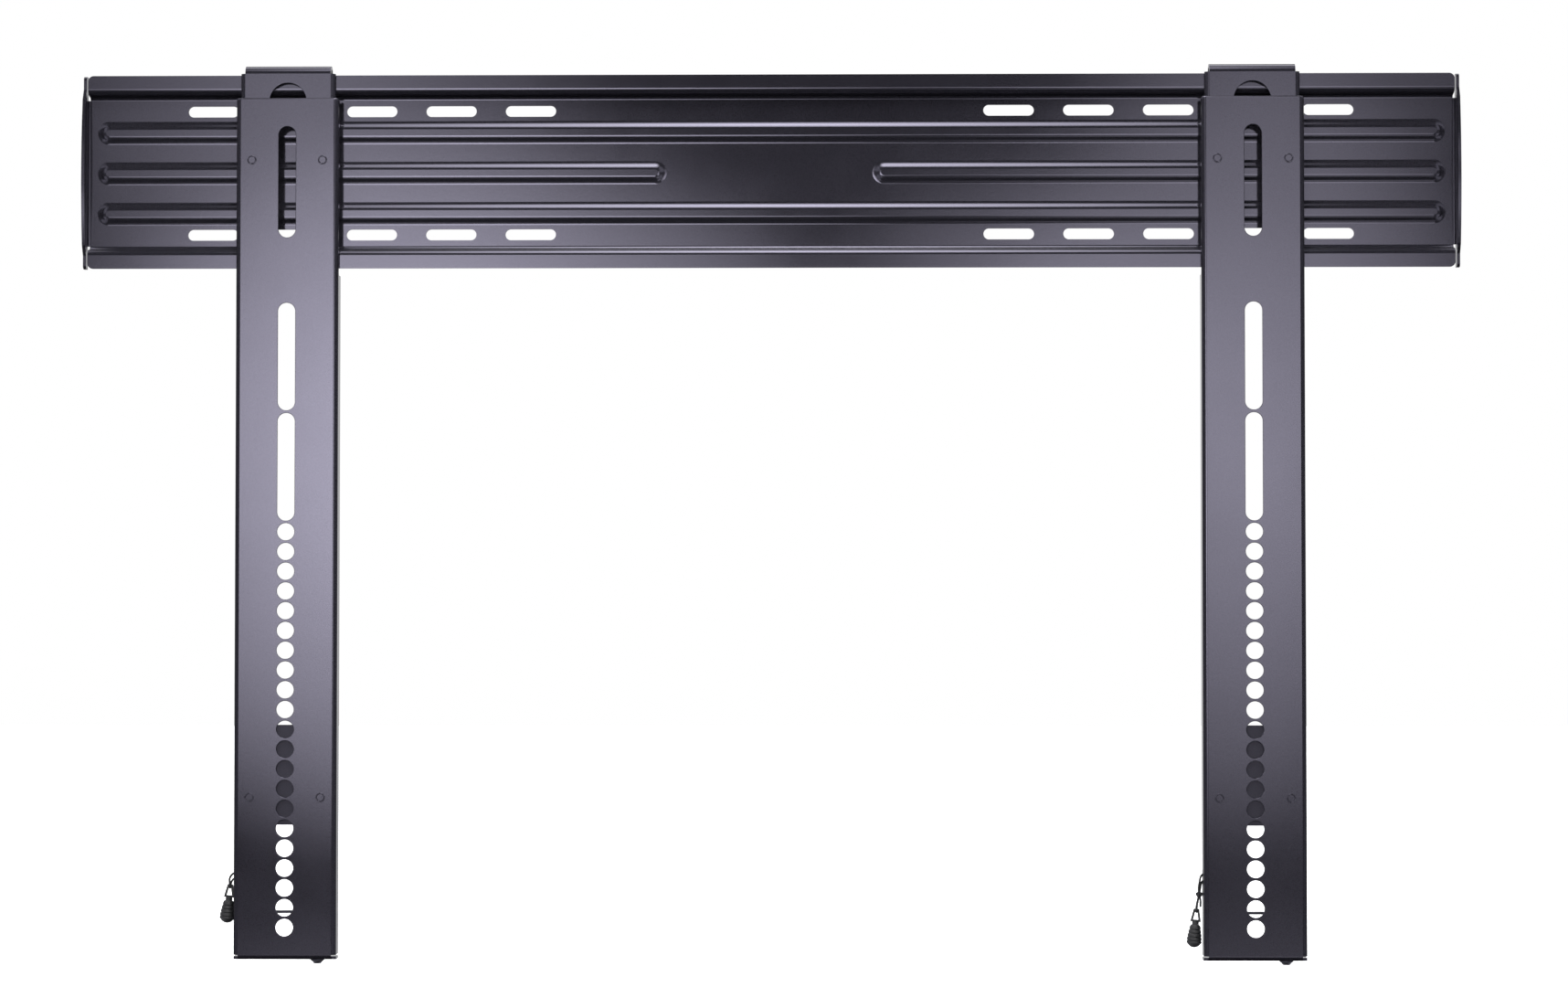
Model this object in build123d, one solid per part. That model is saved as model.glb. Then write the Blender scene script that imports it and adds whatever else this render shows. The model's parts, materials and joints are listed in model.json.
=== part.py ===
"""Fixed tv wall bracket: a folded wall plate, and two hooked arms with a pull-cord latch each.

The origin is the middle of the wall plate's back face. +X is right, +Z is up and the front faces -Y, so a
depth in these notes is a distance from the wall towards the viewer. The two arms are the same part, not
mirrored.
"""
from build123d import *
from math import radians, sin, tan
import os

# wall plate
plate_length = 875.6        # over the two end flanges
plate_height = 123.2        # over the two hanging flanges
plate_sheet = 2.0
plate_bend = 3.0            # bend radius at the middle of the sheet
flange_front = 10.0         # depth of the hanging flanges' front face
flange_height = 8.4         # flat part of a hanging flange
riser_angle = 79.0          # lean of the sheet between panel and hanging flange
end_gap = 1.2               # relief slit between a hanging flange and the end flange
end_front = 15.0            # depth of the end flange at its middle
ear_front = 8.0             # depth of its ears
ear_length = 8.5            # straight front edge of an ear
ear_round = 2.5
flange_end_round = 3.5

# raised stiffening beads of the wall plate
bead_height = 1.5
bead_slope = 28.0           # lean of a bead's sides
bead_crest = 6.4            # width of the crest between sharp corners
bead_drop = 13.6            # from a row of bolt slots to the outer beads
bead_round = 5.0
bead_foot_round = 5.7
bead_end_margin = 9.45      # from the plate's end to a bead's end
bead_split = 134.0          # plain length in the middle of the centre bead

# wall bolt slots
slot_pitch = 50.8
slot_first_step = 3         # pitches from the middle to the first slot
slot_count = 5              # slots each side in a row
slot_edge = 7.2             # from the panel's edge to a row of slots
slot_length = 32.2
slot_width = 7.0

# arms
arm_inset = 131.6           # from the plate's end to an arm's middle
arm_width = 65.1
arm_length = 545.4
arm_drop = 15.7             # from the plate's top edge to the arm's top
arm_front = 16.0            # depth of the arm's face
arm_sheet = 2.0
arm_bend = 2.0              # bend radius at the middle of the sheet
arm_side_back = 3.5         # depth of the side walls' back edge below the plate
plate_clearance = 1.2       # between the plate and what crosses in front of it
crossing_margin = 4.6       # below the plate before the side walls get their full depth
crossing_round = 2.0
foot_relief = 3.1           # width of a corner relief of the folded foot
foot_slit = 1.0             # height of that relief

# bolt slots and holes of an arm, with drops from the arm's top
bolt_slot_width = 11.6
top_slot_length = 71.5
top_slot_drop = 17.1
long_slot_length = 69.0
long_slot_pitch = 70.0
long_slot_count = 2
long_slot_drop = 129.5
bolt_hole = 11.6
bolt_hole_pitch = 12.5
bolt_hole_drop = 275.15
bolt_hole_margin = 20.0     # from the last hole's middle to the arm's bottom, at least

# hook bracket, with drops from the arm's top
hook_sheet = 2.0
hook_side_gap = 0.4         # between an inner bracket and the arm's side wall
hook_side_depth = 3.2       # depth of the bracket's side walls
hook_side_edge = 0.2        # flat left on them behind the bend
hook_inset = 5.3            # from the arm's side to the rolled tongue
hook_roll = 4.25            # radius of the roll at the middle of the sheet
hook_roll_rise = 0.65       # from the plate's top edge up to the roll's axis
hook_lip_gap = 0.3          # between the lip's tip and the plate it rests on
hook_leg_drop = 53.9
hook_leg_gap = 18.0         # free width behind the top slot
hook_leg_round = 4.0
hook_window = 24.0
hook_window_drop = 1.2

# rivets
rivet_edge = 10.05          # from the arm's side
hook_rivet_drop = 38.9
standoff_rivet_rise = 17.4  # above the standoff bracket's bottom
rivet_shank = 3.9
rivet_head = 4.8
rivet_head_height = 0.35
rivet_tail = 5.2
rivet_tail_height = 1.2
rivet_play = 0.05

# standoff bracket
standoff_rise = 84.9        # above the arm's bottom
standoff_height = 63.1
standoff_sheet = 2.0
standoff_foot = 9.0         # width of its feet on the wall

# latch bar, with rises from the arm's bottom
latch_sheet = 1.5
latch_width = 10.0
latch_edge = 13.1           # from the arm's left side
latch_play = 0.3            # between the bar and what guides it
latch_bend = 1.75           # bend radius at the middle of the sheet
latch_finger_gap = 0.3      # between the finger and the hanging flange's back
latch_overlap = 5.4         # how far the finger reaches behind the hanging flange
latch_drop = 1.7            # from the plate's bottom edge to the bar's top bend
latch_travel = 9.0          # downwards, when the cord is pulled
latch_foot_rise = 30.3
latch_foot_edge = 5.1       # from the arm's right side
latch_foot_back = 4.0
cord_ear_rise = 58.3        # top of the bar's ear for the cord
cord_ear_height = 10.0
cord_ear_edge = 5.1         # from the arm's left side to the middle of the ear's sheet
cord_ear_back = 4.2

# latch guide
guide_drop = 16.7           # from the plate's bottom edge
guide_sheet = 1.5
guide_edge = 6.1            # from the arm's left side
guide_width = 23.0
guide_leg = 13.0
guide_back = 6.5
guide_bend = 1.6

# guide screw, its nuts and spring
screw_edge = 12.55          # from the arm's right side
screw_depth = 8.0
screw_diameter = 5.0
screw_rise = 37.5           # above the arm's bottom
screw_play = 0.1
screw_head = 8.6
screw_head_height = 2.9
screw_head_rim = 0.9        # straight edge under the head's dome
screw_head_flat = 4.7       # diameter of the dome's flat
screw_dome = 5.2
recess_length = 4.3
recess_width = 1.0
recess_depth = 1.45
nut_across_flats = 8.0
nut_height = 4.0
spring_wire = 1.0
spring_diameter = 8.4
spring_turns = 6
latch_foot_hole = 5.8

# pull cord, and the openings that it goes through, with drops from the ear's top
cord_diameter = 1.3
cord_depth = 7.5
cord_hole_width = 2.6
cord_hole_height = 6.2
cord_hole_drop = 5.3
cord_slot_width = 4.6
cord_slot_drop = 1.0
cord_slot_play = 3.3        # past the cord's hole and the latch's travel

# moulded pull
pull_neck = 4.2
pull_neck_height = 1.8
pull_top = 6.2
pull_bottom = 9.6
pull_height = 12.2
pull_round = 0.8
pull_dome = 2.2
pull_groove = 0.45
pull_groove_pitch = 2.3
pull_grooves = 4
eye_width = 6.6
eye_top_width = 3.4
eye_height = 8.2
eye_wire = 1.3
eye_thick = 1.8

# each cord's points: from the arm's left side to the right, depth, above the arm's bottom
left_cord = [
    (5.8, 7.5, 54.8), (2.3, 7.6, 54.8), (-1.4, 8.2, 53.9), (-3.4, 8.9, 51.0), (-3.2, 9.4, 47.9),
    (-3.1, 9.4, 44.7), (-3.1, 5.6, 44.7), (-3.0, 5.6, 47.9), (-1.2, 6.4, 50.5), (2.3, 7.3, 51.3),
    (5.8, 7.5, 51.3)]
right_cord = [
    (5.8, 7.5, 54.8), (2.3, 7.6, 54.8), (-1.1, 8.0, 53.6), (-2.0, 8.4, 49.6), (-2.7, 8.5, 45.4),
    (-2.5, 8.5, 41.0), (-3.2, 8.9, 37.0), (-3.9, 9.4, 33.5), (-4.0, 9.4, 30.2), (-4.0, 5.6, 30.2),
    (-3.9, 5.6, 33.5), (-3.1, 6.0, 37.2), (-2.1, 6.4, 41.2), (-1.3, 6.5, 45.4), (-1.0, 6.9, 49.0),
    (2.2, 7.4, 51.1), (5.8, 7.5, 51.3)]
arm_reach = plate_length / 2 - arm_inset
arms = {
    "left": {"middle": -arm_reach, "cord": left_cord, "eye": (-3.0, 46.8), "lean": 5.5},
    "right": {"middle": arm_reach, "cord": right_cord, "eye": (-3.9, 32.3), "lean": 4.5},
}

overcut = 1.0               # how far a cut runs past a sheet
near = 0.1                  # how close an edge lies to where it is looked for
corner_share = 0.45         # part of a straight run that a rounding beside it takes up, at most

# values that follow from the sizes above
across = (1, 0, 0)
upward = (0, 0, 1)
plate_top = plate_height / 2
panel_middle = plate_sheet / 2
flange_middle = flange_front - plate_sheet / 2
riser_run = (flange_middle - panel_middle) / tan(radians(riser_angle))
bend_reach = plate_bend * tan(radians(riser_angle / 2))
riser_top = plate_top - flange_height - bend_reach
riser_bottom = riser_top - riser_run
panel_top = riser_bottom - bend_reach
end_outer = plate_length / 2
end_middle = end_outer - plate_sheet / 2
rail_end = end_outer - plate_sheet - end_gap
bow_depth = (ear_front + end_front) / 2
slot_row = panel_top - slot_edge
bead_row = slot_row - bead_drop
bead_side = bead_height / sin(radians(bead_slope))
bead_round_limit = corner_share * bead_side / tan(radians(bead_slope / 2))
arm_top = plate_top - arm_drop
arm_bottom = arm_top - arm_length
arm_back = arm_front - arm_sheet
arm_middle = arm_front - arm_sheet / 2
arm_half = arm_width / 2
side_middle = arm_half - arm_sheet / 2
crossing_depth = flange_front + plate_clearance
crossing_bottom = -plate_top - crossing_margin
foot_top = arm_bottom + arm_sheet
foot_bend_top = arm_bottom + arm_bend + arm_sheet / 2
bolt_hole_first = arm_top - bolt_hole_drop
bolt_hole_count = 1 + int((bolt_hole_first - arm_bottom - bolt_hole_margin) / bolt_hole_pitch)
bracket_half = arm_half - arm_sheet - hook_side_gap
web_middle = arm_back - hook_sheet / 2
web_back = arm_back - hook_sheet
hook_roll_height = plate_top + hook_roll_rise
hook_leg_bottom = arm_top - hook_leg_drop
hook_window_height = arm_top - hook_window_drop
standoff_bottom = arm_bottom + standoff_rise
standoff_top = standoff_bottom + standoff_height
standoff_back = arm_back - standoff_sheet
rivet_offset = arm_half - rivet_edge
hook_rivet_height = arm_top - hook_rivet_drop
standoff_rivet_height = standoff_bottom + standoff_rivet_rise
latch_left = latch_edge - arm_half
latch_centre = latch_left + latch_width / 2
latch_middle = standoff_back - latch_play - latch_sheet / 2
latch_top = -plate_top - latch_drop - latch_sheet / 2
finger_middle = flange_front - plate_sheet - latch_finger_gap - latch_sheet / 2
latch_foot_top = arm_bottom + latch_foot_rise
latch_foot_bottom = latch_foot_top - latch_sheet
cord_ear_top = arm_bottom + cord_ear_rise
guide_top = -plate_top - guide_drop
screw_offset = arm_half - screw_edge
spring_bottom = foot_top + nut_height
spring_length = latch_foot_bottom - spring_bottom


def front(depth):
    """A sketch plane parallel to the wall, drawn as the viewer sees it."""
    return Plane(origin=(0, -depth, 0), x_dir=across, z_dir=(0, -1, 0))


def side(x):
    """A sketch plane across the object: local x is depth, local y is up, and extruding goes to the left."""
    return Plane(origin=(x, 0, 0), x_dir=(0, -1, 0), z_dir=(-1, 0, 0))


def level(z):
    """A sketch plane parallel to the floor."""
    return Plane(origin=(0, 0, z))


def point(x, depth, z):
    return Vector(x, -depth, z)


def folded(points, bend, sheet, along, width):
    """A sheet folded along a path through the middle of its thickness."""
    path = FilletPolyline(*points, radius=bend)
    start = Plane(origin=path @ 0, x_dir=along, z_dir=path % 0)
    return sweep(start * Rectangle(width, sheet), path=path)


def bead(length, foot_depth, crest_depth, width_at_crest):
    """A long raised form with sloping sides and round ends."""
    width_at_foot = width_at_crest + 2 * (crest_depth - foot_depth) / tan(radians(bead_slope))
    foot = front(foot_depth) * SlotOverall(length + width_at_foot, width_at_foot)
    crest = front(crest_depth) * SlotOverall(length + width_at_crest, width_at_crest)
    return loft([foot, crest])


def make_beads():
    """The four raised beads, and the hollows behind them."""
    crest_front = plate_sheet + bead_height
    half_foot = bead_crest / 2 + bead_height / tan(radians(bead_slope))
    inside_crest = bead_crest - 2 * plate_sheet * tan(radians(bead_slope / 2))
    outer_end = end_outer - bead_end_margin
    full = 2 * (outer_end - half_foot)
    part_length = outer_end - bead_split / 2 - 2 * half_foot
    part_middle = (outer_end + bead_split / 2) / 2
    raised = []
    hollows = []
    places = [(0, bead_row, full), (0, -bead_row, full)]
    places += [(-part_middle, 0, part_length), (part_middle, 0, part_length)]
    for x, z, length in places:
        outside = bead(length, panel_middle, crest_front, bead_crest)
        crest_edges = outside.edges().filter_by_position(Axis.Y, -crest_front - near, -crest_front + near)
        raised.append(Pos(x, 0, z) * fillet(crest_edges, min(bead_round, bead_round_limit)))
        hollows.append(Pos(x, 0, z) * bead(length, -overcut, bead_height, inside_crest))
    return raised, hollows


def end_flange_outline():
    """The end flange seen from the side: two ears and a bowed front edge."""
    upper = [
        (plate_sheet, plate_top),
        (ear_front, plate_top),
        (ear_front, plate_top - ear_length),
        (bow_depth, panel_top),
    ]
    lower = [(depth, -z) for depth, z in reversed(upper)]
    bow = ThreePointArc(upper[-1], (end_front, 0), lower[0])
    outline = Polyline(*upper) + bow + Polyline(*lower) + Line(lower[-1], upper[0])
    face = make_face(outline.edges())
    fronts = face.vertices().filter_by_position(Axis.X, ear_front - near, ear_front + near).sort_by(Axis.Y)
    return fillet([fronts[0], fronts[-1]], ear_round)


def make_wall_plate():
    half = [
        (flange_middle, plate_top),
        (flange_middle, riser_top),
        (panel_middle, riser_bottom),
    ]
    profile = half + [(depth, -z) for depth, z in reversed(half)]
    rail = folded([point(0, depth, z) for depth, z in profile], plate_bend, plate_sheet, across, 2 * rail_end)
    corners = rail.edges().filter_by(Axis.Y)
    corners = corners.filter_by_position(Axis.Y, -flange_front, -flange_front + plate_sheet)
    rail = fillet(corners, flange_end_round)
    raised, hollows = make_beads()
    plate = rail + raised
    foot_edges = plate.edges().filter_by_position(Axis.Y, -plate_sheet - near, -plate_sheet + near)
    foot_edges = foot_edges.filter_by_position(Axis.Z, -panel_top + near, panel_top - near)
    foot_edges = foot_edges.filter_by_position(Axis.X, -rail_end + near, rail_end - near)
    plate = fillet(foot_edges, min(bead_foot_round, bead_round_limit))
    plate -= hollows

    for sign in (-1, 1):
        strip = [
            point(sign * (rail_end - plate_bend), panel_middle, 0),
            point(sign * end_middle, panel_middle, 0),
            point(sign * end_middle, bow_depth, 0),
        ]
        plate += folded(strip, plate_bend - plate_sheet / 2, plate_sheet, upward, 2 * panel_top)
        ears = side(sign * end_middle + plate_sheet / 2) * end_flange_outline()
        plate += extrude(ears, amount=plate_sheet)

    columns = [sign * slot_pitch * (slot_first_step + k) for sign in (-1, 1) for k in range(slot_count)]
    places = [(x, z) for x in columns for z in (-slot_row, slot_row)]
    slots = Sketch() + [Pos(x, z) * SlotOverall(slot_length, slot_width) for x, z in places]
    return plate - extrude(front(-overcut) * slots, amount=plate_sheet + 2 * overcut)


def rivet_holes(height):
    """Two round holes in a sketch that is drawn as the viewer sees it."""
    return [Pos(x, height) * Circle(rivet_shank / 2 + rivet_play) for x in (-rivet_offset, rivet_offset)]


def make_arm_channel():
    half_path = [(side_middle, arm_side_back), (side_middle, arm_middle)]
    path = [(-x, depth) for x, depth in half_path] + [(x, depth) for x, depth in reversed(half_path)]
    length = arm_top - foot_bend_top
    points = [point(x, depth, (arm_top + foot_bend_top) / 2) for x, depth in path]
    channel = folded(points, arm_bend, arm_sheet, upward, length)

    # the side walls step back where the arm crosses the wall plate
    crossing = Pos(0, crossing_bottom) * Rectangle(
        crossing_depth, arm_top - crossing_bottom + overcut, align=(Align.MIN, Align.MIN))
    corner = crossing.vertices().sort_by(Axis.Y)[:2].sort_by(Axis.X)[-1:]
    crossing = fillet(corner, crossing_round)
    channel -= extrude(side(arm_width) * crossing, amount=2 * arm_width)

    # the foot is folded from the face between two corner reliefs, and its leaf is as wide as the arm
    fold = [
        point(0, arm_middle, foot_bend_top + foot_relief),
        point(0, arm_middle, arm_bottom + arm_sheet / 2),
        point(0, arm_side_back, arm_bottom + arm_sheet / 2),
    ]
    slit = Pos(0, -arm_front / 2) * Rectangle(arm_width + overcut, arm_front + overcut)
    channel -= extrude(level(foot_top) * slit, amount=foot_slit)
    channel += folded(fold, arm_bend, arm_sheet, across, arm_width - 2 * foot_relief)
    leaf_front = arm_middle - arm_bend
    leaf = Rectangle(arm_width, leaf_front - arm_side_back, align=(Align.CENTER, Align.MAX))
    channel += extrude(level(arm_bottom) * Pos(0, -arm_side_back) * leaf, amount=arm_sheet)

    slots = [(arm_top - top_slot_drop, top_slot_length)]
    for k in range(long_slot_count):
        slots.append((arm_top - long_slot_drop - k * long_slot_pitch, long_slot_length))
    holes = []
    for slot_top, length in slots:
        holes.append(Pos(0, slot_top - length / 2) * SlotOverall(length, bolt_slot_width, rotation=90))
    for k in range(bolt_hole_count):
        holes.append(Pos(0, bolt_hole_first - k * bolt_hole_pitch) * Circle(bolt_hole / 2))
    holes += rivet_holes(hook_rivet_height) + rivet_holes(standoff_rivet_height)
    channel -= extrude(front(arm_back - overcut) * (Sketch() + holes), amount=arm_sheet + 2 * overcut)

    length = cord_hole_height + latch_travel + cord_slot_play
    cord_slot = Pos(cord_depth, cord_ear_top - cord_slot_drop - length / 2) * SlotOverall(
        length, cord_slot_width, rotation=90)
    channel -= extrude(side(-arm_half + arm_sheet + overcut) * cord_slot, amount=arm_sheet + 2 * overcut)
    screw_hole = Pos(screw_offset, -screw_depth) * Circle(screw_diameter / 2 + screw_play)
    return channel - extrude(level(arm_bottom - overcut) * screw_hole, amount=arm_sheet + 2 * overcut)


def lip_tip():
    """Height of the hook lip's tip, just clear of the leaning sheet that it rests on."""
    lip_front = web_middle - 2 * hook_roll + hook_sheet / 2
    lean = radians(riser_angle)
    rise = (lip_front - panel_middle) / tan(lean)
    return riser_bottom + rise + plate_sheet / 2 / sin(lean) + hook_lip_gap


def make_hook_bracket():
    roll_axis = web_middle - hook_roll
    web = Line(point(0, web_middle, hook_leg_bottom), point(0, web_middle, hook_roll_height))
    crown = point(0, roll_axis, hook_roll_height + hook_roll)
    lip_top = point(0, roll_axis - hook_roll, hook_roll_height)
    roll = ThreePointArc(web @ 1, crown, lip_top)
    lip = Line(lip_top, point(0, roll_axis - hook_roll, lip_tip()))
    path = Wire([web, roll, lip])
    start = Plane(origin=path @ 0, x_dir=across, z_dir=path % 0)
    hook = sweep(start * Rectangle(arm_width - 2 * hook_inset, hook_sheet), path=path)

    side_x = bracket_half - hook_sheet / 2
    side_back = arm_back - hook_side_depth
    path = [(-side_x, side_back), (-side_x, web_middle), (side_x, web_middle), (side_x, side_back)]
    middle = (hook_leg_bottom + hook_roll_height) / 2
    bend = hook_side_depth - hook_sheet / 2 - hook_side_edge
    hook += folded([point(x, depth, middle) for x, depth in path], bend, hook_sheet, upward,
                   hook_roll_height - hook_leg_bottom)

    window = Pos(0, hook_window_height) * Circle(hook_window / 2)
    gap = Pos(0, hook_window_height) * Rectangle(
        hook_leg_gap, hook_window_height - hook_leg_bottom + overcut, align=(Align.CENTER, Align.MAX))
    cuts = window + gap + rivet_holes(hook_rivet_height)
    hook -= extrude(front(web_back - overcut) * cuts, amount=hook_sheet + 2 * overcut)
    inner = hook.edges().filter_by(Axis.Y)
    inner = inner.filter_by_position(Axis.Z, hook_leg_bottom - near, hook_leg_bottom + near)
    inner = inner.filter_by_position(Axis.X, -hook_leg_gap / 2 - near, hook_leg_gap / 2 + near)
    return fillet(inner, hook_leg_round)


def make_rivets(height, tail_seat):
    """Two flush rivets through the arm's face and the bracket behind it."""
    grip = arm_front - tail_seat
    head_top = grip + rivet_head_height
    profile = [
        (0, -rivet_tail_height),
        (rivet_tail / 2, -rivet_tail_height),
        (rivet_tail / 2, 0),
        (rivet_shank / 2, 0),
        (rivet_shank / 2, grip),
        (rivet_head / 2, grip),
        (rivet_head / 2 - rivet_head_height, head_top),
        (0, head_top),
    ]
    rivet = revolve(Plane.XZ * make_face(Polyline(*profile, close=True)), Axis.Z)
    return Compound([front(tail_seat) * Pos(x, height) * rivet for x in (-rivet_offset, rivet_offset)])


def make_standoff_bracket():
    side_x = bracket_half - standoff_sheet / 2
    foot_x = bracket_half - standoff_foot
    foot_middle = standoff_sheet / 2
    web = standoff_back + standoff_sheet / 2
    half_path = [(foot_x, foot_middle), (side_x, foot_middle), (side_x, web)]
    path = [(-x, depth) for x, depth in half_path] + [(x, depth) for x, depth in reversed(half_path)]
    middle = (standoff_top + standoff_bottom) / 2
    points = [point(x, depth, middle) for x, depth in path]
    bracket = folded(points, arm_bend, standoff_sheet, upward, standoff_height)
    holes = Sketch() + rivet_holes(standoff_rivet_height)
    return bracket - extrude(front(standoff_back - overcut) * holes, amount=standoff_sheet + 2 * overcut)


def make_latch_bar():
    """A folded bar with a finger at its top, a foot on the spring and an ear for the cord."""
    foot_middle = latch_foot_top - latch_sheet / 2
    path = [
        (finger_middle, -plate_top + latch_overlap),
        (finger_middle, latch_top),
        (latch_middle, latch_top),
        (latch_middle, foot_middle),
        (latch_foot_back, foot_middle),
    ]
    points = [point(latch_centre, depth, z) for depth, z in path]
    bar = folded(points, latch_bend, latch_sheet, across, latch_width)
    foot_length = arm_half - latch_foot_edge - latch_left
    foot = Rectangle(foot_length, latch_middle - latch_bend - latch_foot_back, align=(Align.MIN, Align.MAX))
    foot = fillet(foot.vertices().sort_by(Axis.X)[-2:], latch_sheet)
    bar += extrude(level(latch_foot_bottom) * Pos(latch_left, -latch_foot_back) * foot, amount=latch_sheet)
    screw_hole = Pos(screw_offset, -screw_depth) * Circle(latch_foot_hole / 2)
    bar -= extrude(level(latch_foot_bottom - overcut) * screw_hole, amount=latch_sheet + 2 * overcut)

    ear_middle = cord_ear_top - cord_ear_height / 2
    ear_side = cord_ear_edge - arm_half
    ear = [
        point(latch_centre, latch_middle, ear_middle),
        point(ear_side, latch_middle, ear_middle),
        point(ear_side, cord_ear_back, ear_middle),
    ]
    bar += folded(ear, latch_bend, latch_sheet, upward, cord_ear_height)
    cord_hole = Pos(cord_depth, cord_ear_top - cord_hole_drop) * SlotOverall(
        cord_hole_height, cord_hole_width, rotation=90)
    return bar - extrude(side(ear_side + latch_sheet) * cord_hole, amount=2 * latch_sheet)


def make_latch_guide():
    """An angle that holds the bar's upper end, welded to the arm's face."""
    middle = guide_edge - arm_half + guide_width / 2
    path = [
        point(middle, arm_back - guide_sheet / 2, guide_top + guide_leg),
        point(middle, arm_back - guide_sheet / 2, guide_top - guide_sheet / 2),
        point(middle, guide_back, guide_top - guide_sheet / 2),
    ]
    guide = folded(path, guide_bend, guide_sheet, across, guide_width)
    window = Rectangle(latch_width + 2 * latch_play, latch_sheet + 2 * latch_play)
    window = level(guide_top - guide_sheet - overcut) * Pos(latch_centre, -latch_middle) * window
    return guide - extrude(window, amount=guide_sheet + 2 * overcut)


def make_nut(bottom):
    nut = RegularPolygon(nut_across_flats / 2, 6, major_radius=False)
    nut -= Circle(screw_diameter / 2 + screw_play)
    return extrude(level(bottom) * Pos(screw_offset, -screw_depth) * nut, amount=nut_height)


def make_guide_screw():
    """A screw through the arm's foot, with a domed cross-recess head below."""
    rim = (screw_head / 2, -screw_head_rim)
    crown = (screw_head_flat / 2, -screw_head_height)
    outline = Polyline(crown, (0, -screw_head_height), (0, 0), (screw_head / 2, 0), rim)
    dome = RadiusArc(rim, crown, -screw_dome)
    head = revolve(Plane.XZ * make_face(outline.edges() + dome.edges()), Axis.Z)
    recess = Rectangle(recess_length, recess_width) + Rectangle(recess_width, recess_length)
    head -= extrude(level(-screw_head_height) * recess, amount=recess_depth)
    shank = extrude(Circle(screw_diameter / 2), amount=screw_rise)
    return Pos(screw_offset, -screw_depth, arm_bottom) * (head + shank)


def make_latch_spring():
    """A coil of square wire with its two ends ground flat."""
    radius = (spring_diameter - spring_wire) / 2
    pitch = (spring_length + spring_wire) / spring_turns
    coil = Helix(pitch, pitch * spring_turns, radius)
    start = Plane(origin=coil @ 0, x_dir=(1, 0, 0), z_dir=coil % 0)
    spring = sweep(start * Rectangle(spring_wire, spring_wire), path=coil, is_frenet=True)
    spring = Pos(screw_offset, -screw_depth, spring_bottom - spring_wire / 2) * spring
    ground = Pos(screw_offset, -screw_depth) * Rectangle(2 * spring_diameter, 2 * spring_diameter)
    return spring & extrude(level(spring_bottom) * ground, amount=spring_length)


def corner_radii(points):
    """An arc for each corner, as large as the two runs beside it leave room for."""
    radii = []
    for before, corner, after in zip(points, points[1:], points[2:]):
        arriving = corner - before
        leaving = after - corner
        half_turn = radians(arriving.get_angle(leaving) / 2)
        radii.append(corner_share * min(arriving.length, leaving.length) / tan(half_turn))
    return radii


def make_pull_cord(name, route):
    points = [point(x - arm_half, depth, arm_bottom + z) for x, depth, z in route]
    radii = corner_radii(points)
    path = FilletPolyline(*points, radius=radii)
    start = Plane(origin=path @ 0, z_dir=path % 0)
    print(name, "cord length", round(path.length, 1), "radii", [round(radius, 1) for radius in radii])
    return sweep(start * Circle(cord_diameter / 2), path=path)


def make_cord_pull(eye, lean):
    """A ribbed bell on a short neck under a flat triangular eye, leaning about the eye's top."""
    shoulder = -eye_height - pull_neck_height
    bottom = shoulder - pull_height

    def bell(z):
        return (pull_top + (pull_bottom - pull_top) * sin(radians(90 * (shoulder - z) / pull_height))) / 2

    neck_top = -eye_height + eye_wire / 2
    edge = [(0, neck_top), (pull_neck / 2, neck_top), (pull_neck / 2, shoulder)]
    edge += [(pull_top / 2 - pull_round, shoulder), (bell(shoulder - pull_round), shoulder - pull_round)]
    for k in range(pull_grooves):
        z = shoulder - pull_round - (k + 1) * pull_groove_pitch
        for rise, cut in ((pull_groove, 0), (0, pull_groove), (-pull_groove, 0)):
            edge.append((bell(z + rise) - cut, z + rise))
    edge += [(pull_bottom / 2, bottom + pull_round), (pull_bottom / 2 - pull_round, bottom)]
    outline = Polyline((0, bottom - pull_dome), *edge)
    dome = TangentArc(outline @ 0, outline @ 1, tangent=(1, 0))
    pull = revolve(Plane.XZ * make_face(outline.edges() + dome.edges()), Axis.Z)
    half_top = eye_top_width / 2
    half_foot = eye_width / 2
    corners = [(-half_foot, -eye_height), (half_foot, -eye_height), (half_top, 0), (-half_top, 0)]
    ring = make_face(Polyline(*corners, close=True))
    ring -= offset(ring, -eye_wire)
    pull += extrude(front(-eye_thick / 2) * ring, amount=eye_thick)
    x, z = eye
    return Pos(x - arm_half, -cord_depth, arm_bottom + z) * Rot(0, lean, 0) * pull


os.makedirs("parts", exist_ok=True)
nodes = {"wall_plate": make_wall_plate()}
pieces = {
    "arm_channel": make_arm_channel(),
    "hook_bracket": make_hook_bracket(),
    "hook_rivets": make_rivets(hook_rivet_height, web_back),
    "standoff_bracket": make_standoff_bracket(),
    "standoff_rivets": make_rivets(standoff_rivet_height, standoff_back),
    "latch_bar": make_latch_bar(),
    "latch_guide": make_latch_guide(),
    "latch_spring": make_latch_spring(),
    "guide_screw": make_guide_screw(),
    "weld_nut": make_nut(foot_top),
    "stop_nut": make_nut(latch_foot_top),
}
for name, arm in arms.items():
    place = Pos(arm["middle"], 0, 0)
    for piece, shape in pieces.items():
        nodes[name + "_" + piece] = place * shape
    nodes[name + "_pull_cord"] = place * make_pull_cord(name, arm["cord"])
    nodes[name + "_cord_pull"] = place * make_cord_pull(arm["eye"], arm["lean"])
for name, shape in nodes.items():
    export_step(shape, "parts/" + name + ".step")
print(len(nodes), "nodes written")
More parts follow.
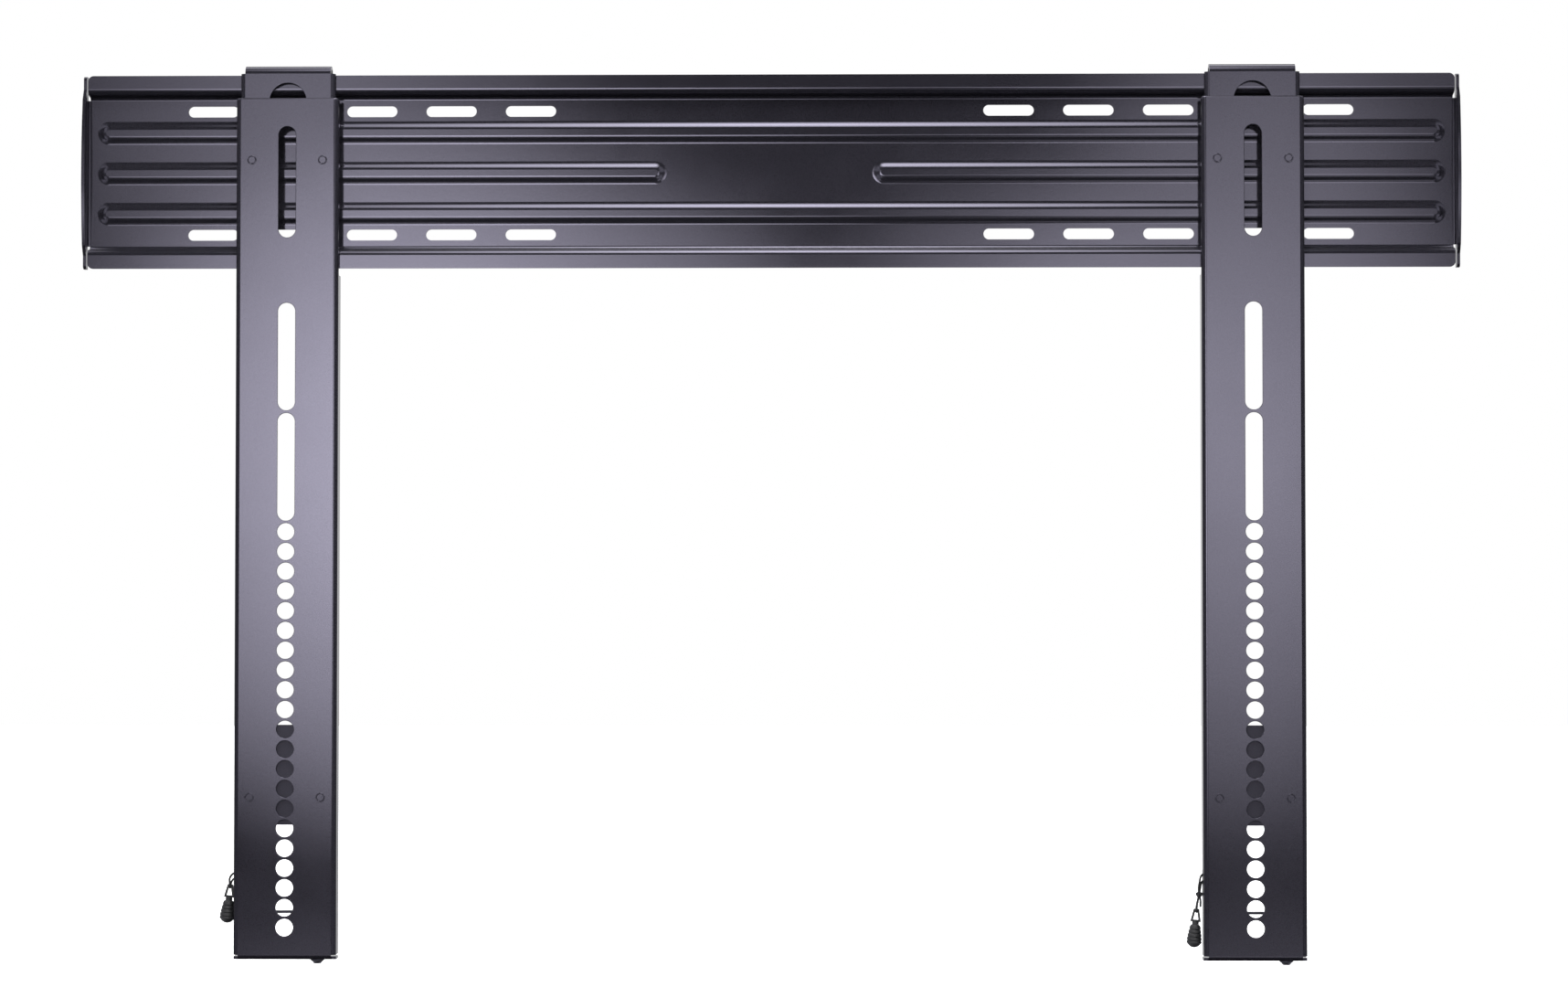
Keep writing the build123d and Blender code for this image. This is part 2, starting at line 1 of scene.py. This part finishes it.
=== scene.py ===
import bpy
import json
from math import cos, pi, radians, sin, tan
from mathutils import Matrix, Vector


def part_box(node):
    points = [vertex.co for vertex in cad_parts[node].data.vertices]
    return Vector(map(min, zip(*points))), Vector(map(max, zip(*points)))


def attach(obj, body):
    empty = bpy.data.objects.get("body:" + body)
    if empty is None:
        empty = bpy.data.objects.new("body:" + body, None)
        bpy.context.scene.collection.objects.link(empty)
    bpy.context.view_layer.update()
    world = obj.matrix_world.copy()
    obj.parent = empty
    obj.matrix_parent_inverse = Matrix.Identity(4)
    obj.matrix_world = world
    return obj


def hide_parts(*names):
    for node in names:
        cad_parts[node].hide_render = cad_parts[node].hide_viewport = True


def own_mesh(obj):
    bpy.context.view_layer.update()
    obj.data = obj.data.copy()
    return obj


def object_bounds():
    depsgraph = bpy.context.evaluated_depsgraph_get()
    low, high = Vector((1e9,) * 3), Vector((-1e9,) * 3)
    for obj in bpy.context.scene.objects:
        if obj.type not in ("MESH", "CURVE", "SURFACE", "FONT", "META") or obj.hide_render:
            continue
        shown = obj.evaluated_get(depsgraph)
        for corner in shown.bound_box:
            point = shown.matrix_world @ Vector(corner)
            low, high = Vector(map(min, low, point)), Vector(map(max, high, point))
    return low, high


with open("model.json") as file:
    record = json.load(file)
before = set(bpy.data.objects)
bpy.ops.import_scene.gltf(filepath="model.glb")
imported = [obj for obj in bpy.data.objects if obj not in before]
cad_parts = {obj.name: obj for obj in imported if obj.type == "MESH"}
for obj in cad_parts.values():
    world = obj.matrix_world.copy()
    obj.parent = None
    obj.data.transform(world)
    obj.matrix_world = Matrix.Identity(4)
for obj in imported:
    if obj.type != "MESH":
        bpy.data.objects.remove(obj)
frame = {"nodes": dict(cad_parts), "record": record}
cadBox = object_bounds()
nodes = frame["nodes"]
slotOf = {part["node"]: part["material_slot"] for part in frame["record"]["subparts"]}
mm = 0.001
sides = ("left", "right")
print("frame loaded:", len(nodes), "nodes")


# camera

cameraSetup = {
    "place": (0.0489, -2.3, -0.272),   # metres, low and almost on the middle
    "lookUp": 1.675,                   # degrees
    "turnLeft": 0.988,
    "lens": 83.0,
    "sensor": 36.0,
}


def makeCamera(s):
    data = bpy.data.cameras.new("camera")
    data.lens = s["lens"]
    data.sensor_width = s["sensor"]
    data.sensor_fit = "HORIZONTAL"
    cam = bpy.data.objects.new("camera", data)
    cam.location = s["place"]
    cam.rotation_euler = (radians(90 + s["lookUp"]), 0, radians(s["turnLeft"]))
    bpy.context.scene.collection.objects.link(cam)
    bpy.context.scene.camera = cam


makeCamera(cameraSetup)
print("camera placed")


# material helpers

def newMaterial(name):
    mat = bpy.data.materials.new(name)
    mat.use_nodes = True
    tree = mat.node_tree
    shader = tree.nodes["Principled BSDF"]
    coords = tree.nodes.new("ShaderNodeTexCoord")
    return mat, tree, shader, coords.outputs["Object"]


def addNoise(tree, coords, scale, detail=2.0, rough=0.5):
    noise = tree.nodes.new("ShaderNodeTexNoise")
    noise.inputs["Scale"].default_value = scale      # features per metre
    noise.inputs["Detail"].default_value = detail
    noise.inputs["Roughness"].default_value = rough
    tree.links.new(coords, noise.inputs["Vector"])
    return noise.outputs["Fac"]


def addRamp(tree, source, stops, colours):
    ramp = tree.nodes.new("ShaderNodeValToRGB")
    for element, place, colour in zip(ramp.color_ramp.elements, stops, colours):
        element.position = place
        element.color = (*colour, 1)
    tree.links.new(source, ramp.inputs["Fac"])
    return ramp.outputs["Color"]


def addRange(tree, source, low, high, fromLow=0.3, fromHigh=0.7):
    spread = tree.nodes.new("ShaderNodeMapRange")
    for name, value in (("From Min", fromLow), ("From Max", fromHigh), ("To Min", low), ("To Max", high)):
        spread.inputs[name].default_value = value
    tree.links.new(source, spread.inputs["Value"])
    return spread.outputs["Result"]


def addBump(tree, source, height, strength, below=None):
    bump = tree.nodes.new("ShaderNodeBump")
    bump.inputs["Distance"].default_value = height
    bump.inputs["Strength"].default_value = strength
    tree.links.new(source, bump.inputs["Height"])
    if below is not None:
        tree.links.new(below, bump.inputs["Normal"])
    return bump.outputs["Normal"]


# paint, steel, cord and plastic

coatLook = {
    "dark": (0.011, 0.0104, 0.0138),
    "light": (0.0205, 0.0194, 0.0252),
    "stops": (0.32, 0.70),             # speckle values that get these two colours
    "tint": (0.82, 0.78, 1.0),         # violet cast of the reflections
    "gloss": (0.085, 0.11),            # lowest and highest roughness
    "ior": 1.55,
    "grain": 2600,                     # speckle, per metre
    "grainBump": (0.00001, 0.45),      # height in metres, strength
    "peel": 420,                       # orange peel, per metre
    "peelBump": (0.00002, 0.25),
    "cloud": 35,                       # patches of more and less gloss, per metre
}


def makeCoat(name, s):
    mat, tree, shader, coords = newMaterial(name)
    grain = addNoise(tree, coords, s["grain"], 2.0, 0.6)
    peel = addNoise(tree, coords, s["peel"], 1.0)
    cloud = addNoise(tree, coords, s["cloud"])
    colour = addRamp(tree, grain, s["stops"], (s["dark"], s["light"]))
    tree.links.new(colour, shader.inputs["Base Color"])
    tree.links.new(addRange(tree, cloud, *s["gloss"]), shader.inputs["Roughness"])
    soft = addBump(tree, peel, *s["peelBump"])
    tree.links.new(addBump(tree, grain, *s["grainBump"], soft), shader.inputs["Normal"])
    shader.inputs["IOR"].default_value = s["ior"]
    shader.inputs["Specular Tint"].default_value = (*s["tint"], 1)
    return mat


satinLook = dict(
    coatLook, dark=(0.010, 0.010, 0.012), light=(0.020, 0.020, 0.024), gloss=(0.36, 0.46), ior=1.45, peel=300)
# the inner look is a copy of the coat, darker as painted shade for the brackets that sit behind the arms, and
# rougher
innerShadeLook = dict(
    coatLook, dark=(0.009, 0.0086, 0.0115), light=(0.017, 0.016, 0.021), gloss=(0.45, 0.55), ior=1.44)
blackZincLook = dict(
    coatLook, dark=(0.016, 0.016, 0.018), light=(0.040, 0.040, 0.044), gloss=(0.22, 0.34), grain=1500)


steelLook = {
    "dark": (0.30, 0.30, 0.31),
    "light": (0.52, 0.52, 0.53),
    "stops": (0.35, 0.65),
    "gloss": (0.22, 0.38),
    "spangle": 900,                    # patches, per metre
    "lines": 5000,                     # fine scratches, per metre
    "lineBump": (0.00001, 0.3),
}
zincLook = dict(steelLook, dark=(0.46, 0.47, 0.50), light=(0.66, 0.66, 0.66), gloss=(0.26, 0.44))


def makeSteel(name, s):
    mat, tree, shader, coords = newMaterial(name)
    spangle = addNoise(tree, coords, s["spangle"], 3.0)
    lines = addNoise(tree, coords, s["lines"])
    colour = addRamp(tree, spangle, s["stops"], (s["dark"], s["light"]))
    tree.links.new(colour, shader.inputs["Base Color"])
    tree.links.new(addRange(tree, spangle, *s["gloss"]), shader.inputs["Roughness"])
    tree.links.new(addBump(tree, lines, *s["lineBump"]), shader.inputs["Normal"])
    shader.inputs["Metallic"].default_value = 1.0
    return mat


braidLook = {
    "dark": (0.003, 0.003, 0.0035),
    "light": (0.016, 0.016, 0.019),
    "stops": (0.1, 0.9),
    "gloss": (0.75, 0.95),
    "pitch": 0.0011,                   # metres, sets how close the yarns lie
    "uneven": 1.5,                     # how far they wander
    "yarnBump": (0.00012, 0.7),
    "fuzz": 6000,                      # per metre
    "fuzzBump": (0.00003, 0.5),
    "sheen": 0.05,
}


def makeBraid(name, s):
    mat, tree, shader, coords = newMaterial(name)
    wave = tree.nodes.new("ShaderNodeTexWave")     # yarns that lie across the cord
    wave.wave_type = "BANDS"
    wave.bands_direction = "DIAGONAL"
    wave.inputs["Scale"].default_value = 0.5 / s["pitch"]
    wave.inputs["Distortion"].default_value = s["uneven"]
    tree.links.new(coords, wave.inputs["Vector"])
    yarn = wave.outputs["Fac"]
    fuzz = addNoise(tree, coords, s["fuzz"])
    colour = addRamp(tree, yarn, s["stops"], (s["dark"], s["light"]))
    tree.links.new(colour, shader.inputs["Base Color"])
    tree.links.new(addRange(tree, fuzz, *s["gloss"]), shader.inputs["Roughness"])
    under = addBump(tree, yarn, *s["yarnBump"])
    tree.links.new(addBump(tree, fuzz, *s["fuzzBump"], under), shader.inputs["Normal"])
    shader.inputs["Sheen Weight"].default_value = s["sheen"]
    return mat


plasticLook = {
    "dark": (0.006, 0.006, 0.007),
    "light": (0.016, 0.016, 0.018),
    "stops": (0.35, 0.68),
    "gloss": (0.50, 0.66),
    "grain": 3200,                     # per metre
    "grainBump": (0.00003, 0.35),
}


def makePlastic(name, s):
    mat, tree, shader, coords = newMaterial(name)
    grain = addNoise(tree, coords, s["grain"], 3.0)
    colour = addRamp(tree, grain, s["stops"], (s["dark"], s["light"]))
    tree.links.new(colour, shader.inputs["Base Color"])
    tree.links.new(addRange(tree, grain, *s["gloss"]), shader.inputs["Roughness"])
    tree.links.new(addBump(tree, grain, *s["grainBump"]), shader.inputs["Normal"])
    return mat


finishes = {
    "powder_coat": makeCoat("powder_coat", coatLook),
    "latch_coat": makeCoat("latch_coat", satinLook),
    "black_screw": makeCoat("black_screw", blackZincLook),
    "spring_steel": makeSteel("spring_steel", steelLook),
    "zinc_nut": makeSteel("zinc_nut", zincLook),
    "cord_braid": makeBraid("cord_braid", braidLook),
    "pull_plastic": makePlastic("pull_plastic", plasticLook),
}
innerShadeCoat = makeCoat("inner_shade_coat", innerShadeLook)     # brackets behind the arms: darker colour as painted shade, and less gloss
for name, node in nodes.items():
    # parts behind the arms get the coat with painted shade
    inner = name.endswith(("standoff_bracket", "latch_guide"))
    node.data.materials.clear()
    node.data.materials.append(innerShadeCoat if inner else finishes[slotOf[name]])
print("finishes on", len(nodes), "nodes")


# pull cords

cordSetup = {
    "thick": 1.3,
    # points from the arm's left side to the right, depth, above the arm's bottom
    "left": [
        (5.8, 7.5, 54.8), (2.3, 7.6, 54.8), (-1.4, 8.2, 53.9), (-3.4, 8.9, 51.0), (-3.2, 9.4, 47.9),
        (-3.1, 9.4, 44.7), (-3.1, 5.6, 44.7), (-3.0, 5.6, 47.9), (-1.2, 6.4, 50.5), (2.3, 7.3, 51.3),
        (5.8, 7.5, 51.3)],
    "right": [
        (5.8, 7.5, 54.8), (2.3, 7.6, 54.8), (-1.1, 8.0, 53.6), (-2.0, 8.4, 49.6), (-2.7, 8.5, 45.4),
        (-2.5, 8.5, 41.0), (-3.2, 8.9, 37.0), (-3.9, 9.4, 33.5), (-4.0, 9.4, 30.2), (-4.0, 5.6, 30.2),
        (-3.9, 5.6, 33.5), (-3.1, 6.0, 37.2), (-2.1, 6.4, 41.2), (-1.3, 6.5, 45.4), (-1.0, 6.9, 49.0),
        (2.2, 7.4, 51.1), (5.8, 7.5, 51.3)],
    "length": {"left": 0.0330, "right": 0.0594},
}


def armPoint(side, place):
    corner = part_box(side + "_arm_channel")[0]      # left side and bottom of the arm
    across, depth, up = place
    return Vector((corner.x + across * mm, -depth * mm, corner.z + up * mm))


def newCurve(name, thick):
    data = bpy.data.curves.new(name, "CURVE")
    data.dimensions = "3D"
    data.bevel_depth = thick * mm / 2
    data.bevel_resolution = 4
    data.use_fill_caps = True
    obj = bpy.data.objects.new(name, data)
    bpy.context.scene.collection.objects.link(obj)
    return obj


def addSpline(obj, points, closed=False, detail=8):
    spline = obj.data.splines.new("NURBS")
    spline.points.add(len(points) - 1)
    for point, place in zip(spline.points, points):
        point.co = (*place, 1)
    spline.order_u = 3
    spline.use_endpoint_u = not closed
    spline.use_cyclic_u = closed
    spline.resolution_u = detail


def makeCord(side, s):
    cord = newCurve(side + "_cord", s["thick"])
    addSpline(cord, [armPoint(side, place) for place in s[side]])
    cord.data.materials.append(finishes["cord_braid"])
    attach(cord, side + "_latch")
    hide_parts(side + "_pull_cord")
    return cord


knotSetup = {
    "points": 36,
    "unit": 0.42,                    # mm, of the trefoil that a knot follows
    "inside": {"place": (7.4, 7.5, 53.1), "size": (1.0, 0.9, 1.25)},   # ends tied behind the ear
    "outside": {"place": (-2.25, 7.5, 40.9), "size": (1.33, 1.2, 1.5)},
    "tail": [(-1.9, 8.4, 40.0), (-1.5, 8.8, 38.2), (-1.4, 8.8, 36.0), (-1.6, 8.7, 33.4)],
}


def makeKnot(name, side, s, spot):
    knot = newCurve(name, cordSetup["thick"])
    middle = armPoint(side, spot["place"])
    wide, deep, tall = spot["size"]
    loop = []
    for k in range(s["points"]):
        t = 2 * pi * k / s["points"]
        x = sin(t) + 2 * sin(2 * t)
        z = cos(t) - 2 * cos(2 * t)
        y = -sin(3 * t)
        loop.append(middle + Vector((x * wide, y * deep, z * tall)) * s["unit"] * mm)
    addSpline(knot, loop, closed=True)
    knot.data.materials.append(finishes["cord_braid"])
    return knot


for side in sides:
    cord = makeCord(side, cordSetup)
    extras = [makeKnot(side + "_end_knot", side, knotSetup, knotSetup["inside"])]
    if side == "right":
        knot = makeKnot("right_cord_knot", side, knotSetup, knotSetup["outside"])
        addSpline(knot, [armPoint(side, place) for place in knotSetup["tail"]])
        extras.append(knot)
    for piece in extras:
        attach(piece, side + "_latch")
print("cords and knots made")


# paint gathers on an arm's edges

topEdge = {
    "thick": 2.0,           # as the sheet
    "tuck": 17,             # degrees of the round that stay inside the sheet
    "corner": 4.0,          # from the arm's corner to the curve's points beside it
    "back": 3.6,            # how far it runs along the side walls
}


def makeTopEdge(side, s):
    low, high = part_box(side + "_arm_channel")
    edge = newCurve(side + "_top_edge", s["thick"])
    inset = s["thick"] / 2 * mm * cos(radians(s["tuck"]))
    left, right, front = low.x + inset, high.x - inset, low.y + inset
    level = high.z - s["thick"] / 2 * mm * sin(radians(s["tuck"]))
    turn, back = s["corner"] * mm, s["back"] * mm
    route = [(left, front + back), (left, front + turn), (left, front), (left + turn, front)]
    route += [(left + right - x, y) for x, y in reversed(route)]
    addSpline(edge, [(x, y, level) for x, y in route])
    edge.data.materials.append(finishes["powder_coat"])
    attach(edge, side + "_arm")


rimSetup = {
    "thick": 0.7,
    "steps": 12,                                             # corners of a round hole's loop
    "width": 11.6,
    "slots": ((17.1, 71.5), (129.5, 69.0), (199.5, 69.0)),   # drop from the arm's top, length
    "holes": {"drop": 275.15, "pitch": 12.5, "count": 21},
    "window": {"width": 24.0, "drop": 1.2, "behind": 2.0},   # in the hook bracket behind the face
    "rivets": ("hook_rivets", "standoff_rivets"),
}


def arcCorners(x, z, radius, first, last, steps):
    reach = radius / cos(pi / steps)                         # the curve runs inside its points
    angles = [(2 * k + 1) * pi / steps for k in range(first, last)]
    return [(x + reach * cos(a), z + reach * sin(a)) for a in angles]


def slotCorners(x, top, length, width, steps):
    radius = width / 2
    high, low = top - radius, top - length + radius          # middles of the round ends
    flank = radius * tan(pi / steps)
    loop = [(x + radius, low + flank), (x + radius, high - flank)]
    loop += arcCorners(x, high, radius, 0, steps // 2, steps)
    loop += [(x - radius, high - flank), (x - radius, low + flank)]
    return loop + arcCorners(x, low, radius, steps // 2, steps, steps)


def makeRims(side, s):
    low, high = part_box(side + "_arm_channel")
    rims = newCurve(side + "_rims", s["thick"])
    rims.data.bevel_resolution = 2
    middle, steps, radius = (low.x + high.x) / 2, s["steps"], s["width"] / 2 * mm
    inside = low.y + s["thick"] / 2 * mm                     # flush with the face
    loops = []
    for drop, length in s["slots"]:
        loops.append((inside, slotCorners(middle, high.z - drop * mm, length * mm, s["width"] * mm, steps)))
    for k in range(s["holes"]["count"]):
        z = high.z - (s["holes"]["drop"] + k * s["holes"]["pitch"]) * mm
        loops.append((inside, arcCorners(middle, z, radius, 0, steps, steps)))
    for name in s["rivets"]:
        headLow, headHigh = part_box(side + "_" + name)
        head = (headHigh.z - headLow.z) / 2
        for x in (headLow.x + head, headHigh.x - head):
            loops.append((low.y, arcCorners(x, headLow.z + head, head, 0, steps, steps)))
    for y, loop in loops:
        addSpline(rims, [(x, y, z) for x, z in loop], closed=True, detail=4)
    window = s["window"]
    wide, z = window["width"] / 2 * mm, high.z - window["drop"] * mm
    arch = [(middle + wide, z)] + arcCorners(middle, z, wide, 0, steps // 2, steps) + [(middle - wide, z)]
    addSpline(rims, [(x, inside + window["behind"] * mm, z) for x, z in arch])
    rims.data.materials.append(finishes["powder_coat"])
    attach(rims, side + "_arm")


for side in sides:
    makeTopEdge(side, topEdge)
    makeRims(side, rimSetup)
print("edges and rims laid")


# latch springs

springSetup = {
    "wire": 1.0,
    "turns": 6.5,
    "flat": 0.8,            # turns that lie flat at each end
    "creep": 0.48,          # slow rise over all turns, so that the flat ones climb too
    "steps": 28,            # points a turn
    "keep": 0.605,          # length left with the latch pulled down
}


def makeSpring(side, s):
    low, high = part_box(side + "_latch_spring")
    middle = (low + high) / 2
    radius = (high.x - low.x) / 2 - s["wire"] * mm / 2
    bottom = low.z + s["wire"] * mm / 2
    rise = high.z - low.z - s["wire"] * mm
    creep = s["creep"] * mm
    count = int(s["turns"] * s["steps"])
    curve = newCurve(side + "_spring_line", s["wire"])
    points = []
    for k in range(count + 1):
        turn = s["turns"] * k / count
        share = min(max((turn - s["flat"]) / (s["turns"] - 2 * s["flat"]), 0), 1)
        height = bottom + share * (rise - creep) + creep * turn / s["turns"]
        angle = 2 * pi * turn
        points.append(Vector((middle.x + radius * cos(angle), middle.y + radius * sin(angle), height)))
    addSpline(curve, points)
    bpy.context.view_layer.update()
    mesh = bpy.data.meshes.new_from_object(curve.evaluated_get(bpy.context.evaluated_depsgraph_get()))
    bpy.data.objects.remove(curve)
    spring = bpy.data.objects.new(side + "_spring_coil", mesh)
    bpy.context.scene.collection.objects.link(spring)
    mesh.materials.clear()
    mesh.materials.append(finishes["spring_steel"])
    mesh.polygons.foreach_set("use_smooth", [True] * len(mesh.polygons))
    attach(spring, side + "_arm")
    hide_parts(side + "_latch_spring")
    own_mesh(spring)


for side in sides:
    makeSpring(side, springSetup)
print("springs wound")


# floor, light and background

stageSetup = {
    "floorDrop": 0.06,                # below the object
    "floorSize": 12.0,
    "floorGlow": 0.9,
    "floorTones": ((0.93, 0.93, 0.93), (0.96, 0.96, 0.96)),
    "floorStops": (0.3, 0.7),
    "floorPatch": 3.0,                # patches of tone, per metre
    "ambient": (0.022, 0.022, 0.027),
    "sideLight": (1.2, 1.2, 1.25),    # room at the sides, above and below the eye line
    "aside": (0.28, 0.46),            # share of the way to the side, where it starts and is full
    "steep": (0.125, 0.18),           # share of the way up or down from the eye line
    "eyeLine": 0.02,                  # height of the eye line, as such a share
    "eyeLight": 0.12,                 # part of the side light there
}


def makeFloor(s):
    half = s["floorSize"] / 2
    level = cadBox[0].z - s["floorDrop"]
    mesh = bpy.data.meshes.new("floor")
    corners = [(-half, -half, level), (half, -half, level), (half, half, level), (-half, half, level)]
    mesh.from_pydata(corners, [], [(0, 1, 2, 3)])
    floor = bpy.data.objects.new("floor", mesh)
    bpy.context.scene.collection.objects.link(floor)
    mat, tree, shader, coords = newMaterial("pale_floor")
    tone = addNoise(tree, coords, s["floorPatch"], 1.0)
    tree.links.new(addRamp(tree, tone, s["floorStops"], s["floorTones"]), shader.inputs["Base Color"])
    shader.inputs["Roughness"].default_value = 1.0
    shader.inputs["Emission Color"].default_value = (1, 1, 1, 1)
    shader.inputs["Emission Strength"].default_value = s["floorGlow"]
    mesh.materials.append(mat)
    floor.visible_glossy = False      # the paint mirrors a dark room below
    floor.visible_diffuse = False


def makeWorld(s):
    world = bpy.data.worlds.new("studio")
    bpy.context.scene.world = world
    world.use_nodes = True
    tree = world.node_tree
    tree.nodes.clear()
    seen = tree.nodes.new("ShaderNodeBackground")       # white paper behind the object
    seen.inputs["Color"].default_value = (1, 1, 1, 1)
    coords = tree.nodes.new("ShaderNodeTexCoord")
    parts = tree.nodes.new("ShaderNodeSeparateXYZ")
    tree.links.new(coords.outputs["Generated"], parts.inputs["Vector"])
    shares = []
    sideways, upwards = ("X", 0, s["aside"], 0), ("Z", s["eyeLine"], s["steep"], s["eyeLight"])
    for axis, middle, limits, least in (sideways, upwards):
        offset = tree.nodes.new("ShaderNodeMath")
        offset.operation = "SUBTRACT"
        offset.inputs[1].default_value = middle
        size = tree.nodes.new("ShaderNodeMath")
        size.operation = "ABSOLUTE"
        tree.links.new(parts.outputs[axis], offset.inputs[0])
        tree.links.new(offset.outputs["Value"], size.inputs[0])
        shares.append(addRange(tree, size.outputs["Value"], least, 1, *limits))
    share = tree.nodes.new("ShaderNodeMath")
    share.operation = "MULTIPLY"
    for k in (0, 1):
        tree.links.new(shares[k], share.inputs[k])
    room = tree.nodes.new("ShaderNodeBackground")
    shade = addRamp(tree, share.outputs["Value"], (0, 1), (s["ambient"], s["sideLight"]))
    tree.links.new(shade, room.inputs["Color"])
    path = tree.nodes.new("ShaderNodeLightPath")
    mix = tree.nodes.new("ShaderNodeMixShader")
    out = tree.nodes.new("ShaderNodeOutputWorld")
    tree.links.new(path.outputs["Is Camera Ray"], mix.inputs["Fac"])
    tree.links.new(room.outputs["Background"], mix.inputs[1])
    tree.links.new(seen.outputs["Background"], mix.inputs[2])
    tree.links.new(mix.outputs["Shader"], out.inputs["Surface"])


# oval panels that fade to their rims; places and half sizes in metres, turns in degrees
panelPoints = 48
upright = (90, 0, 0)
softboxes = {
    "left": {"place": (-0.434, -2.30, -0.141), "size": (0.570, 0.475),
             "turn": upright, "fade": 0.80, "power": 11.9},
    "right": {"place": (0.551, -2.30, -0.069), "size": (0.346, 0.533),
              "turn": upright, "fade": 0.76, "power": 6.2},
    "fill": {"place": (-0.645, -2.36, 0.324), "size": (0.395, 0.572),
             "turn": upright, "fade": 1.0, "power": 3.4},
    "middle": {"place": (0.255, -2.42, 0.056), "size": (0.264, 0.264),
               "turn": upright, "fade": 1.0, "power": 4.7},
    "lowLeft": {"place": (-0.62, -2.40, -0.990), "size": (0.345, 0.345),
                "turn": upright, "fade": 1.0, "power": 3.2},
    "lowRight": {"place": (0.58, -2.40, -1.100), "size": (0.510, 0.510),
                 "turn": upright, "fade": 1.0, "power": 2.6},
    "fillRight": {"place": (0.700, -2.38, 0.487), "size": (0.459, 0.230),
                  "turn": upright, "fade": 1.0, "power": 1.6},
    "top": {"place": (-0.03, -0.704, 1.324), "size": (0.60, 0.90),
            "turn": (28, 0, 0), "fade": 1.0, "power": 17.0},
    "crown": {"place": (0.0, 0.30, 0.95), "size": (1.10, 0.40),
              "turn": (0, 0, 0), "fade": 0.4, "power": 4.5},
    "back": {"place": (0.0, 4.6, 0.6), "size": (2.6, 2.6),
             "turn": upright, "fade": 0.3, "power": 0.9},
}


def makeSoftbox(name, s):
    mesh = bpy.data.meshes.new(name + "_softbox")
    wide, tall = s["size"]
    angles = [2 * pi * k / panelPoints for k in range(panelPoints)]
    rim = [(wide * cos(angle), tall * sin(angle), 0) for angle in angles]
    mesh.from_pydata(rim, [], [tuple(range(panelPoints))])
    panel = bpy.data.objects.new(name + "_softbox", mesh)
    panel.location = s["place"]
    panel.rotation_euler = [radians(angle) for angle in s["turn"]]
    bpy.context.scene.collection.objects.link(panel)
    mat = bpy.data.materials.new(name + "_softbox")
    mat.use_nodes = True
    tree = mat.node_tree
    tree.nodes.clear()
    coords = tree.nodes.new("ShaderNodeTexCoord")
    fit = tree.nodes.new("ShaderNodeMapping")
    fit.inputs["Scale"].default_value = (1 / wide, 1 / tall, 1)
    ball = tree.nodes.new("ShaderNodeTexGradient")
    ball.gradient_type = "SPHERICAL"
    fade = tree.nodes.new("ShaderNodeMath")
    fade.operation = "POWER"
    fade.inputs[1].default_value = s["fade"]
    glow = tree.nodes.new("ShaderNodeMath")
    glow.operation = "MULTIPLY"
    glow.inputs[1].default_value = s["power"]
    shine = tree.nodes.new("ShaderNodeEmission")
    clear = tree.nodes.new("ShaderNodeBsdfTransparent")     # panels behind shine through
    both = tree.nodes.new("ShaderNodeAddShader")
    out = tree.nodes.new("ShaderNodeOutputMaterial")
    tree.links.new(coords.outputs["Object"], fit.inputs["Vector"])
    tree.links.new(fit.outputs["Vector"], ball.inputs["Vector"])
    tree.links.new(ball.outputs["Fac"], fade.inputs[0])
    tree.links.new(fade.outputs["Value"], glow.inputs[0])
    tree.links.new(glow.outputs["Value"], shine.inputs["Strength"])
    tree.links.new(shine.outputs["Emission"], both.inputs[0])
    tree.links.new(clear.outputs["BSDF"], both.inputs[1])
    tree.links.new(both.outputs["Shader"], out.inputs["Surface"])
    mesh.materials.append(mat)
    panel.visible_camera = False


makeFloor(stageSetup)
makeWorld(stageSetup)
for name, setup in softboxes.items():
    makeSoftbox(name, setup)
bpy.context.scene.view_settings.view_transform = "Standard"
bpy.context.scene.view_settings.look = "None"
print("studio set")
